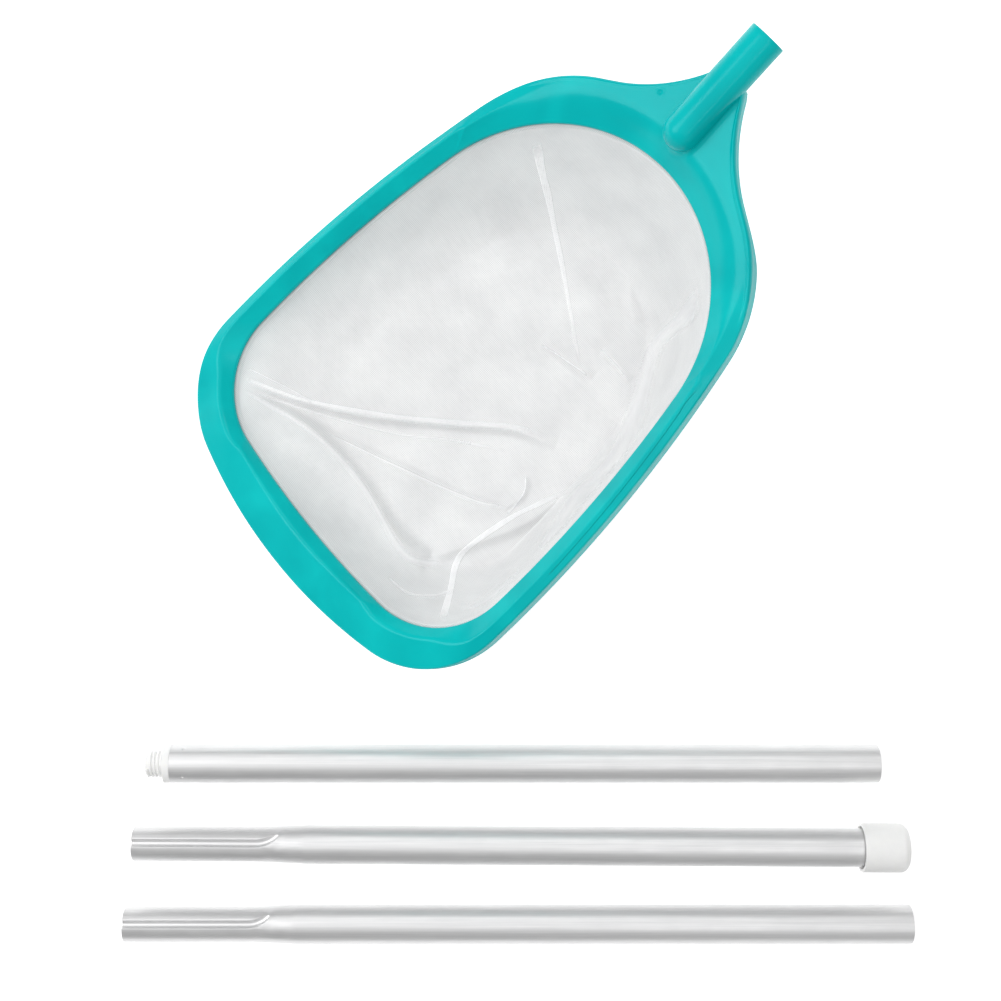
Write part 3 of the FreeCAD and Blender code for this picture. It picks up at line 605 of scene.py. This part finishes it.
@dataclass
class MouldedHead:
    """The head's one-piece moulding: a hollow ridged band, the web that climbs to the handle, and the socket."""
    place: HeadPlace
    plastic: bpy.types.Material
    wall: float = 2.0
    ridge: float = 6.5
    ridge_share: float = 0.57
    lip_ridge_in: float = 6.0
    bevel_drop: float = 2.6
    skirt_low: float = -5.6
    lip_low: float = -3.6
    web_pitch: float = 9.0
    web_start_u: float = 78.0
    web_blend: float = 12.0
    web_depth: float = 6.0
    knee_at: float = 12.0
    sweep: float = 100.0
    sweep_from: float = 61.0
    sweep_to: float = 28.0
    leaves_at: float = 29.0
    web_end_in: float = 0.7
    rib_width: float = 3.6
    rib_height: Tuple[float, float] = (0.25, 1.1)
    edge_round: float = 1.0
    web_edge_round: float = 2.3
    inner_round: float = 0.7
    front_brow: float = 0.4
    widest_band: float = 24.0
    socket_r: float = 10.2
    bore_r: float = 7.85
    bore_depth: float = 34.0
    blind_u: float = 115.5
    blind_w: float = 15.8
    socket_length: float = 61.7
    socket_pitch: float = 7.5
    fillet: float = 2.6
    gate_mark: Tuple[float, float] = (122.0, 25.5)
    gate_depth: float = 0.55
    gate_r: float = 0.95
    gate_lip: float = 0.16
    opening: RimOutline = field(default_factory=RimOutline)
    outside: OuterOutline = field(default_factory=OuterOutline)
    top_rows: int = 84

    def web_edge(self) -> List[Tuple[float, float]]:
        """Follow the web's edge on the left, from the outer edge up to the socket's side."""
        start = np.array(self.outside.point(self.leaves_at))
        first, last = math.radians(self.sweep_from), math.radians(self.sweep_to)
        end_v = self.socket_r - self.web_end_in
        straight = (start[1] - end_v - self.sweep * (math.cos(last) - math.cos(first))) / math.sin(first)
        bend = start + straight * np.array([math.cos(first), -math.sin(first)])
        centre = bend + self.sweep * np.array([math.sin(first), math.cos(first)])
        line = [tuple(start + (bend - start) * t) for t in np.linspace(0.0, 1.0, 20, endpoint=False)]
        return line + [(centre[0] - self.sweep * math.sin(a), centre[1] - self.sweep * math.cos(a))
                       for a in np.linspace(first, last, 110)]

    def stations(self) -> List[Tuple[float, float, float]]:
        """List the sections round the head: direction, and the outer end of each section's line."""
        edge = self.web_edge()
        facing = [self.leaves_at + (180.0 - self.leaves_at) * t for t in np.linspace(1.0, 0.0, 520)]
        left = [(d, *self.outside.point(d)) for d in facing[:-1]]
        left += [(math.degrees(math.atan2(v, u)), u, v) for u, v in edge]
        end_u, end_v = edge[-1]
        across = [(math.degrees(math.atan2(v, end_u)), end_u, v)
                  for v in np.linspace(end_v, -end_v, 12)[1:-1]]
        right = [(-d, u, -v) for d, u, v in reversed(left)]
        return left + across + right[:-1]

    def top(self, direction: np.ndarray, reach: np.ndarray, width: np.ndarray, u: np.ndarray,
            v: np.ndarray) -> np.ndarray:
        """Work out the height of the moulding's top.

        Args:
            direction: which way the rim faces, for each place.
            reach: distance outside the opening's edge.
            width: the section's whole width there.
            u: distance along the handle axis.
            v: distance to its left.

        Returns:
            The height over the rim at each place, in millimetres.
        """
        turn = np.abs(direction)
        neck = ease(turn, 74.0, 42.0)
        corner = ease(turn, 104.0, 134.0)
        band = np.minimum(width, self.widest_band)
        ridge_at = band * self.ridge_share + (self.lip_ridge_in - band * self.ridge_share) * corner
        along = u - self.web_start_u
        climb = math.tan(math.radians(self.web_pitch)) * 0.5 * (along + np.hypot(along, self.web_blend))
        ridge = self.ridge + climb
        slope_at = ridge_at + (self.knee_at - ridge_at) * neck
        inner = (ridge - 0.7 * neck) * reach / slope_at
        brow = ridge - self.bevel_drop
        brow = brow + (self.front_brow - brow) * ease(turn, 108.0, 150.0)
        side = ridge - (ridge - brow) * (reach - ridge_at) / (width - ridge_at)
        outer = side + (ridge - side) * neck
        soft = 0.9 + 3.6 * neck + 1.6 * corner
        share = np.clip(0.5 + 0.5 * (outer - inner) / soft, 0.0, 1.0)
        height = outer + (inner - outer) * share - soft * share * (1.0 - share)
        from_edge = width - reach
        rib = np.where(direction < 0.0, self.rib_height[1], self.rib_height[0]) * ease(turn, 68.0, 44.0)
        height = height + rib * np.sin(math.pi * np.clip(from_edge / self.rib_width, 0.0, 1.0))
        radius = self.edge_round + (self.web_edge_round - self.edge_round) * ease(turn, 62.0, 40.0)
        rounding = np.clip(radius - from_edge, 0.0, radius)
        height = height - (radius - np.sqrt(np.maximum(radius ** 2 - rounding ** 2, 0.0)))
        lead = np.clip(self.inner_round - reach, 0.0, self.inner_round)
        height = height - (self.inner_round - np.sqrt(self.inner_round ** 2 - lead ** 2)) * 0.8
        to_blind = np.hypot(np.minimum(u - self.blind_u, 0.0), v) - self.socket_r + 0.35
        foot = np.clip(self.fillet - to_blind, 0.0, self.fillet)
        fillet = self.fillet - np.sqrt(np.maximum(self.fillet ** 2 - foot ** 2, 0.0))
        height = height + fillet * (turn < 40.0)
        mark = np.hypot(u - self.gate_mark[0], v - self.gate_mark[1])
        height = height - self.gate_depth * np.exp(-(mark / self.gate_r) ** 2)
        return height + self.gate_lip * np.exp(-((mark - 2.0 * self.gate_r) / 0.5) ** 2)

    def build_moulding(self) -> bpy.types.Object:
        """Build the band and the web as one closed skin and return it.

        Rows run round the head: up the inner edge, over the top, down the skirt and back under the top.
        """
        stations = self.stations()
        direction = np.array([station[0] for station in stations])
        inner = np.array([self.opening.point(d, 0.0) for d in direction])
        outer = np.array([station[1:] for station in stations])
        width = np.hypot(*(outer - inner).T)
        turn = np.abs(direction)
        lip = ease(turn, 139.0, 149.0)
        way = (outer - inner) / width[:, None]
        rows = []

        def place_row(reach: np.ndarray, height: np.ndarray) -> None:
            spot = inner + way * reach[:, None]
            rows.append(np.column_stack([spot, height]))

        near = np.concatenate([[0.0, 0.12, 0.3, 0.5, 0.75], np.linspace(1.1, 14.0, 34)])
        edge = np.concatenate([np.linspace(4.2, 1.5, 10), [1.25, 1.0, 0.75, 0.5, 0.3, 0.15, 0.05, 0.0]])
        middle = self.top_rows - len(near) - len(edge)
        room = width - edge[0]
        start = np.minimum(near[-1], room)
        reaches = [np.where(room >= near[-1], reach, room * reach / near[-1]) for reach in near]
        reaches += [start + (room - start) * (row + 1.0) / (middle + 1.0) for row in range(middle)]
        reaches += [width - inset for inset in edge]
        place_row(np.zeros_like(width) + 0.1, np.full_like(width, -self.wall))
        place_row(np.zeros_like(width), np.full_like(width, -self.wall + 0.3))
        for reach in reaches:
            spot = inner + way * reach[:, None]
            place_row(reach, self.top(direction, reach, width, spot[:, 0], spot[:, 1]))
        rim = rows[-1][:, 2]
        web = ease(turn, 44.0, 29.0)
        low = self.skirt_low + (self.lip_low - self.skirt_low) * lip
        low = low + (rim - self.web_depth - low) * web
        for share in (0.25, 0.5, 0.75, 0.96):
            place_row(width, rim + (low - rim) * share)
        place_row(width - 0.2, low)
        place_row(width - self.wall + 0.2, low)
        place_row(width - self.wall, low + 0.2)
        for inset in (self.wall, self.wall + 2.0, self.wall + 5.0):
            reach = width - inset
            spot = inner + way * reach[:, None]
            place_row(reach, self.top(direction, reach, width, spot[:, 0], spot[:, 1]) - self.wall - 0.4)
        for reach_mm in (8.0, 3.0):
            reach = np.minimum(np.full_like(width, reach_mm), width - self.wall - 5.2)
            spot = inner + way * reach[:, None]
            height = self.top(direction, reach, width, spot[:, 0], spot[:, 1]) - self.wall - 0.3
            place_row(reach, np.where(reach_mm < 4.0, -self.wall, height))
        grid = np.array(rows)
        points = np.array([self.place.at(*spot) for spot in grid.reshape(-1, 3)])
        faces = grid_faces(grid.shape[0], grid.shape[1], True)
        last, count = grid.shape[0] - 1, grid.shape[1]
        faces += [(last * count + c, last * count + (c + 1) % count, (c + 1) % count, c) for c in range(count)]
        return mesh_object("head_moulding", points, [face[::-1] for face in faces], self.plastic)

    def build_socket(self) -> bpy.types.Object:
        """Build the handle socket: a round blind end, a plain wall and a bored mouth."""
        profile = [(-self.socket_r * math.cos(a), self.socket_r * math.sin(a))
                   for a in np.linspace(0.02, math.pi / 2, 22)]
        profile += [(x, self.socket_r) for x in np.linspace(2.0, self.socket_length - 0.5, 30)]
        end = self.socket_length
        profile += [(end - 0.15, self.socket_r - 0.12), (end, self.socket_r - 0.45), (end, self.bore_r + 0.9),
                    (end - 0.25, self.bore_r + 0.55), (end - 0.8, self.bore_r), (end - 6.0, self.bore_r),
                    (end - self.bore_depth, self.bore_r - 0.02), (end - self.bore_depth - 0.1, 0.3)]
        turns = np.linspace(0.0, 2.0 * math.pi, 160, endpoint=False)
        pitch = math.radians(self.socket_pitch)
        points = []
        for x, r in profile:
            for a in turns:
                rise, side = r * math.cos(a), r * math.sin(a)
                points.append(self.place.at(self.blind_u + x * math.cos(pitch) - rise * math.sin(pitch), side,
                                            self.blind_w + x * math.sin(pitch) + rise * math.cos(pitch)))
        socket = mesh_object("handle_socket", np.array(points), grid_faces(len(profile), len(turns), True),
                             self.plastic)
        return socket


@dataclass(frozen=True)
class Fold:
    """A fold in the cloth: a raised line through a few places on the floor plan, in millimetres."""
    points: Tuple[Tuple[float, float], ...]
    height: float
    soft_side: float
    sharp_side: float
    fade_in: float = 12.0
    fade_out: float = 30.0

    def lift(self, places: np.ndarray) -> np.ndarray:
        """Work out how far the fold raises the cloth.

        Args:
            places: x and y of each vertex in millimetres.

        Returns:
            The rise at each vertex in millimetres.
        """
        nodes = smooth_line(np.array(self.points), 40)
        run = np.concatenate([[0.0], np.cumsum(np.hypot(*np.diff(nodes, axis=0).T))])
        best = np.full(len(places), 1e9)
        side = np.zeros(len(places))
        along = np.zeros(len(places))
        for start, end, done in zip(nodes[:-1], nodes[1:], run):
            step = end - start
            length = max(1e-6, float(np.hypot(*step)))
            share = np.clip((places - start) @ step / length ** 2, 0.0, 1.0)
            away = places - (start + share[:, None] * step)
            distance = np.hypot(*away.T)
            nearer = distance < best
            best = np.where(nearer, distance, best)
            side = np.where(nearer, step[0] * away[:, 1] - step[1] * away[:, 0], side)
            along = np.where(nearer, done + share * length, along)
        width = np.where(side > 0.0, self.soft_side, self.sharp_side)
        fade = np.clip(along / self.fade_in, 0.0, 1.0) * np.clip((run[-1] - along) / self.fade_out, 0.0, 1.0)
        return self.height * np.exp(-(best / width) ** 2) * fade * (2.0 - fade)


def smooth_line(points: np.ndarray, count: int) -> np.ndarray:
    """Run a smooth line through a few points.

    Args:
        points: one row for each point.
        count: how many places to give along the line.

    Returns:
        One row for each place.
    """
    padded = np.vstack([2 * points[0] - points[1], points, 2 * points[-1] - points[-2]])
    places = []
    for share in np.linspace(0.0, len(points) - 1.0, count):
        index = min(int(share), len(points) - 2)
        t = share - index
        p0, p1, p2, p3 = padded[index:index + 4]
        places.append(0.5 * (2 * p1 + (p2 - p0) * t + (2 * p0 - 5 * p1 + 4 * p2 - p3) * t * t
                             + (3 * p1 - p0 - 3 * p2 + p3) * t ** 3))
    return np.array(places)


@dataclass
class NetBag:
    """The mesh bag: one cut of mesh hung in the rim, with four sewn corners, lying slack on the surface."""
    place: HeadPlace
    cloth: bpy.types.Material
    columns: int = 840
    wall_rows: int = 56
    floor_rows: int = 84
    floor_share: float = 0.72
    floor_u: float = -40.0
    floor_v: float = -62.0
    clear_mm: float = 1.3
    lowest_mm: float = 0.2
    folds: Tuple[Fold, ...] = (
        Fold(((-160, 78), (-127, 67), (-88, 58), (-39, 53), (-4, 50), (22, 40)), 5.0, 12.0, 2.6, 10.0, 30.0),
        Fold(((-162, 74), (-121, 50), (-92, 20), (-69, -14), (-50, -22)), 6.0, 4.0, 12.0, 8.0, 16.0),
        Fold(((-140, 62), (-110, 47), (-68, 27), (-28, 9), (-4, 3)), 3.2, 3.2, 9.0, 30.0, 16.0),
        Fold(((-50, -24), (-20, -14), (8, -2), (36, 22), (60, 52)), 4.5, 9.0, 4.0, 12.0, 20.0),
        Fold(((14, 104), (26, 92), (44, 80)), 2.2, 5.0, 2.2, 8.0, 8.0),
        Fold(((49, 96), (58, 88), (66, 78)), 1.8, 4.0, 2.0, 6.0, 8.0),
        Fold(((5, 23), (3, 12), (-8, 4)), 2.4, 2.2, 5.0, 8.0, 8.0),
        Fold(((70, 150), (66, 130), (70, 112)), 2.5, 6.0, 3.0, 10.0, 10.0),
    )
    rim: RimOutline = field(default_factory=RimOutline)

    def section(self, direction: float) -> np.ndarray:
        """Draw the cloth from under the rim down to the middle of the bag's floor.

        Args:
            direction: which way the rim faces there.

        Returns:
            One row of x, y and z in metres for each row of the cloth.
        """
        def rim_at(inside: float, height: float) -> np.ndarray:
            return self.place.at(*self.rim.point(direction, inside), height)

        tucked = [rim_at(-2.5, -2.5), rim_at(-0.6, -2.5), rim_at(1.0, -2.7)]
        top = rim_at(1.7, -3.6)
        centre = self.place.at(self.floor_u, self.floor_v, 0.0)
        foot = centre + (top - centre) * self.floor_share
        rows = list(tucked)
        for t in np.linspace(0.0, 1.0, self.wall_rows - len(tucked)):
            inward = t ** 1.35
            down = 1.0 - (1.0 - t) ** 1.45
            point = top + (foot - top) * inward
            point[2] = top[2] + (self.clear_mm * MM - top[2]) * down
            rows.append(point)
        for t in np.linspace(0.0, 1.0, self.floor_rows + 1)[1:]:
            point = foot + (centre - foot) * t
            point[2] = self.clear_mm * MM
            rows.append(point)
        return np.array(rows)

    def raised(self, points: np.ndarray, share: np.ndarray) -> np.ndarray:
        """Raise the cloth into its folds and slack.

        Args:
            points: x, y and z of each vertex.
            share: how free each vertex is to rise.

        Returns:
            The raised points.
        """
        lift = np.zeros(len(points))
        for fold in self.folds:
            lift += fold.lift(points[:, :2] / MM)
        slack = np.array([1.8 * noise.noise(Vector((x * 24.0, y * 24.0, 0.3)))
                          + 0.9 * noise.noise(Vector((x * 60.0, y * 60.0, 4.1)))
                          + 0.25 * noise.noise(Vector((x * 170.0, y * 170.0, 8.7))) for x, y in points[:, :2]])
        raised = points.copy()
        raised[:, 2] += (lift + np.maximum(slack + 1.0, 0.0)) * share * MM
        return raised

    def freedom(self, row: np.ndarray) -> np.ndarray:
        """Say how free each row of the cloth is to rise into folds.

        Args:
            row: the row numbers.

        Returns:
            0 where the cloth is clamped, 1 on the floor, and a little over 1 low on the wall.
        """
        down = np.clip((row - 3.0) / (self.wall_rows - 3.0), 0.0, 1.0)
        return down ** 1.2 * (3.0 - 2.0 * down)

    def build_cloth(self) -> bpy.types.Object:
        """Build the bag's cloth and return it."""
        directions = self.rim.directions(self.columns)
        rows = np.stack([self.section(angle) for angle in directions], axis=1)
        count = rows.shape[0]
        points = rows.reshape(-1, 3)
        row = np.repeat(np.arange(count), self.columns)
        points = self.raised(points, self.freedom(row))
        steps = np.linalg.norm(np.diff(rows, axis=0), axis=2)
        run = np.vstack([np.zeros((1, self.columns)), np.cumsum(steps[::-1], axis=0)])[::-1]
        heading = np.radians(self.place.yaw)
        centre = rows[-1, 0]
        way = rows[0, :, :2] - centre[:2]
        way /= np.linalg.norm(way, axis=1)[:, None]
        flat = run[:, :, None] * way[None, :, :]
        turned = np.stack([flat[..., 0] * math.cos(heading) + flat[..., 1] * math.sin(heading),
                           -flat[..., 0] * math.sin(heading) + flat[..., 1] * math.cos(heading)], axis=2)
        points[:, 2] = np.maximum(points[:, 2], self.lowest_mm * MM)
        bag = mesh_object("net_bag", points, grid_faces(count, self.columns, True), self.cloth,
                          turned.reshape(-1, 2))
        self.flat_cut = turned.reshape(-1, 2)
        self.surface = points.reshape(count, self.columns, 3)
        weld = bag.modifiers.new("middle", "WELD")
        weld.merge_threshold = 0.02 * MM
        return bag


@dataclass(frozen=True)
class Band:
    """A strip where the mesh lies double: a sewn seam's allowance, a pleat or a turned-in wall, in millimetres.

    The path is on the floor plan. Width and cover are given at its two ends, and crisp for its two long edges.
    """
    name: str
    path: Tuple[Tuple[float, float], ...]
    width: Tuple[float, float]
    crisp: Tuple[float, float] = (1.0, 1.0)
    cover: Tuple[float, float] = (0.9, 0.9)
    proud: float = 0.55


@dataclass
class DoubledMesh:
    """Every strip where the bag's mesh lies double, draped over the single layer."""
    bag: NetBag
    cloth: bpy.types.Material
    spacing_mm: float = 0.9
    across: int = 15
    smoothed_from_mm: float = 6.0
    smoothed_over: int = 15
    clamped_rows: float = 10.0
    freed_over_rows: float = 6.0
    lift_mm: float = 0.1
    bands: Tuple[Band, ...] = (
        Band("shoulder_seam", ((10, 207), (14, 194), (18.4, 180.8), (24.8, 152.2), (30.7, 120), (36.6, 86.3)),
             (5.4, 2.0), cover=(0.95, 0.5)),
        Band("corner_seam", ((-43, -60.8), (-39, -44), (-35.8, -27.9), (-27.6, -17.7), (-6.2, -2.8), (12, 6.5),
                             (30.7, 14.7)), (4.4, 3.0), cover=(0.95, 0.6)),
        Band("long_pleat", ((-164, 81), (-126.3, 66.8), (-83, 58), (-39.5, 52.7), (-4.4, 49.8), (16, 44)),
             (3.2, 8.0), (0.35, 1.0), (0.9, 0.35)),
        Band("long_pleat_back", ((-150, 70), (-110, 57.5), (-70, 47.5), (-39, 44), (-4, 37)),
             (1.2, 2.2), (1.0, 1.0), (0.6, 0.2)),
        Band("curved_pleat", ((-163, 74.5), (-120.9, 49.7), (-92, 20.5), (-68.8, -17.5), (-54, -27), (-36.5, -26)),
             (3.6, 9.0), (0.5, 0.15), (0.85, 0.75)),
        Band("middle_pleat", ((-109.2, 46.8), (-68, 27), (-27.8, 8.9), (-4.4, 3)), (1.6, 4.0), (0.3, 1.0),
             (0.7, 0.4)),
        Band("upper_pleat", ((-158, 86), (-134, 74), (-118, 65)), (1.0, 2.2), (0.6, 1.0), (0.6, 0.3)),
        Band("turned_in_side", ((98, 129), (91, 111), (78.6, 97.7), (69.4, 68.6), (59.1, 43.5), (46, 24),
                                (30.6, 8.9), (7.1, -25.9), (-21.6, -47.8), (-41, -46)),
             (14.0, 10.0), (0.1, 0.6), (0.9, 0.8), 0.9),
        Band("side_crease", ((14, 100), (26, 92), (44, 80)), (1.0, 2.4), (1.0, 0.4), (0.5, 0.5)),
        Band("side_crease_low", ((49, 97), (56, 89), (64, 80)), (1.0, 2.4), (1.0, 0.4), (0.5, 0.4)),
        Band("curl", ((5, 23.5), (4, 14), (-1, 6), (-8, -2)), (1.2, 2.6), (1.0, 0.5), (0.75, 0.4)),
        Band("front_arc", ((-74, -35), (-62, -44), (-48, -46), (-36, -43)), (1.5, 3.6), (0.3, 1.0), (0.7, 0.6)),
    )

    def build(self) -> List[bpy.types.Object]:
        """Drape every strip and return them."""
        surface = self.bag.surface.reshape(-1, 3)
        tree = KDTree(len(surface))
        for index, point in enumerate(surface):
            tree.insert((point[0], point[1], 0.0), index)
        tree.balance()
        return [self.drape(band, tree, surface) for band in self.bands]

    @staticmethod
    def solid(share: float, crisp: float) -> float:
        """Say how solid a strip is near one of its edges.

        Args:
            share: distance from that edge as a share of the width.
            crisp: 1 for a hard edge, and less for one that fades in over the rest of the width.

        Returns:
            A share from 0 to 1.
        """
        return min(1.0, share / max(0.02, 1.0 - crisp)) if crisp < 1.0 else 1.0

    def drape(self, band: Band, tree: KDTree, surface: np.ndarray) -> bpy.types.Object:
        """Lay one strip on the cloth.

        Args:
            band: the strip.
            tree: lookup of the cloth's vertices by their place on the floor plan.
            surface: the cloth's vertices.

        Returns:
            The strip's object.
        """
        length = float(np.sum(np.hypot(*np.diff(np.array(band.path), axis=0).T)))
        count, across = max(24, int(length / self.spacing_mm)), self.across
        line = smooth_line(np.array(band.path), count)
        way = np.gradient(line, axis=0)
        way /= np.hypot(*way.T)[:, None]
        side = np.column_stack([-way[:, 1], way[:, 0]])
        points, cover, cut = [], [], []
        for index, (spot, aside) in enumerate(zip(line, side)):
            along = index / (count - 1.0)
            width = band.width[0] + (band.width[1] - band.width[0]) * along
            ends = min(1.0, 8.0 * along + 0.25, 6.0 * (1.0 - along))
            strength = (band.cover[0] + (band.cover[1] - band.cover[0]) * along) * ends
            for step in range(across):
                share = step / (across - 1.0)
                x, y = (spot + aside * (share - 0.5) * width * (1.0 + 0.08 * math.sin(along * 23.0))) * MM
                near = tree.find_n((x, y, 0.0), 4)
                weight = [1.0 / (found[2] + 1e-5) for found in near]
                z = sum(w * surface[found[1]][2] for w, found in zip(weight, near)) / sum(weight)
                hump = band.proud * (1.0 - (2.0 * share - 1.0) ** 4)
                row = sum(w * found[1] for w, found in zip(weight, near)) / sum(weight) / self.bag.columns
                free = min(1.0, max(0.0, (row - self.clamped_rows) / self.freed_over_rows))
                points.append((x, y, z + (hump * free + self.lift_mm) * MM))
                left, right = self.solid(share, band.crisp[0]), self.solid(1.0 - share, band.crisp[1])
                rim = min(1.0, 12.0 * share + 0.2, 12.0 * (1.0 - share) + 0.2)
                cover.append(strength * left * right * rim * free)
                cut.append(self.bag.flat_cut[near[0][1]])
        laid = np.array(points).reshape(count, across, 3)
        if max(band.width) > self.smoothed_from_mm:
            beyond = self.smoothed_over // 2
            padded = np.pad(laid[:, :, 2], ((beyond, beyond), (0, 0)), mode="edge")
            laid[:, :, 2] = sum(padded[k:k + count] for k in range(self.smoothed_over)) / self.smoothed_over
        strip = mesh_object(band.name, laid.reshape(-1, 3), grid_faces(count, across, False), self.cloth,
                            np.array(cut))
        layer = strip.data.attributes.new("cover", "FLOAT", "POINT")
        layer.data.foreach_set("value", cover)
        return strip


@dataclass
class Studio:
    """The pale surface, the soft lights and the camera straight above."""
    paper: bpy.types.Material
    camera_height_mm: float = 845.0
    right_of_tube_end_mm: float = 190.0
    above_tube_axis_mm: float = 152.3
    lens_mm: float = 51.79
    sensor_mm: float = 36.0
    paper_half: float = 6.0
    paper_below_mm: float = 0.25
    surround: float = 0.42

    def build_floor(self) -> bpy.types.Object:
        """Lay the paper and return it."""
        size, height = self.paper_half, -self.paper_below_mm * MM
        points = np.array([(-size, -size, height), (size, -size, height), (size, size, height),
                           (-size, size, height)])
        floor = mesh_object("paper", points, [(0, 1, 2, 3)], self.paper)
        return floor

    def build_light(self, name: str, place: Tuple[float, float, float], size: Tuple[float, float],
                    power: float, roll: float = 0.0) -> None:
        """Hang one soft light that faces the middle of the layout.

        Args:
            name: the light's name.
            place: where it hangs, in metres.
            size: its width and height, in metres.
            power: its power in watts.
            roll: its turn about the line to the layout, in radians.
        """
        data = bpy.data.lights.new(name, "AREA")
        data.shape = "RECTANGLE"
        data.size, data.size_y = size
        data.energy = power
        light = bpy.data.objects.new(name, data)
        light.location = place
        aim = (-Vector(place)).to_track_quat("-Z", "Y").to_matrix() @ Matrix.Rotation(roll, 3, "Z")
        light.rotation_euler = aim.to_euler()
        bpy.context.scene.collection.objects.link(light)

    def build_camera(self) -> None:
        """Hang the camera over the layout, looking straight down."""
        low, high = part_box("front_tube")
        data = bpy.data.cameras.new("camera")
        data.lens = self.lens_mm
        data.sensor_width = self.sensor_mm
        data.clip_start, data.clip_end = 0.01, 50.0
        camera = bpy.data.objects.new("camera", data)
        camera.location = (low.x + self.right_of_tube_end_mm * MM,
                           (low.y + high.y) / 2 + self.above_tube_axis_mm * MM, self.camera_height_mm * MM)
        bpy.context.scene.collection.objects.link(camera)
        bpy.context.scene.camera = camera

    def build(self) -> None:
        """Build the whole studio."""
        self.build_floor()
        self.build_camera()
        self.build_light("key", (-1.45, 0.3, 1.4), (1.2, 1.2), 18.0)
        self.build_light("back", (0.1, 1.4, 1.5), (1.8, 0.5), 7.0)
        self.build_light("top", (0.1, 0.1, 2.2), (2.2, 2.2), 9.0)
        self.build_light("edge", (0.8, -1.5, 1.0), (1.2, 0.16), 0.6)
        self.build_light("strip", (0.52, -0.42, 1.9), (0.06, 1.5), 3.0, math.radians(-46.0))
        world = bpy.data.worlds.new("studio")
        world.use_nodes = True
        background = world.node_tree.nodes["Background"]
        background.inputs["Color"].default_value = linear("ffffff")
        background.inputs["Strength"].default_value = self.surround
        bpy.context.scene.world = world
        bpy.context.scene.view_settings.view_transform = "Standard"


def main() -> None:
    """Build every sub-assembly round the frame."""
    logging.basicConfig(level=logging.INFO, format="%(name)s: %(message)s")
    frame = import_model()
    nodes = frame["nodes"]
    plastic = MouldedPolypropylene().build()
    white = MouldedPolyethylene().build()
    tube = AnodisedAluminium().build()
    cloth = WovenMesh().build()
    doubled = WovenMesh(weave=Weave.DOUBLED).build()
    Studio(StudioPaper().build()).build()
    for name, finish, edge in (("retaining_ring", plastic, 0.0),
                               ("threaded_tip", white, 0.25), ("end_cap", white, 0.6),
                               ("front_tube", tube, 0.25), ("middle_tube", tube, 0.25),
                               ("rear_tube", tube, 0.25)):
        dress(nodes[name], finish, edge)
        log.info("%s dressed", name)
    place = HeadPlace()
    head = MouldedHead(place, plastic)
    moulding, socket = head.build_moulding(), head.build_socket()
    for piece in (moulding, socket):
        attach(piece, "head")
        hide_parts("net_frame")
    bag = NetBag(place, cloth)
    sheet = bag.build_cloth()
    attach(sheet, "head")
    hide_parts("net_floor", "net_wall_front", "net_wall_rear", "net_wall_left", "net_wall_right",
                "hem_tape", "seam_rear_left", "seam_rear_right", "seam_front_left", "seam_front_right")
    strips = DoubledMesh(bag, doubled).build()
    for strip in strips:
        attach(strip, "head")
    log.info("net bag built")


if __name__ == "__main__":
    main()
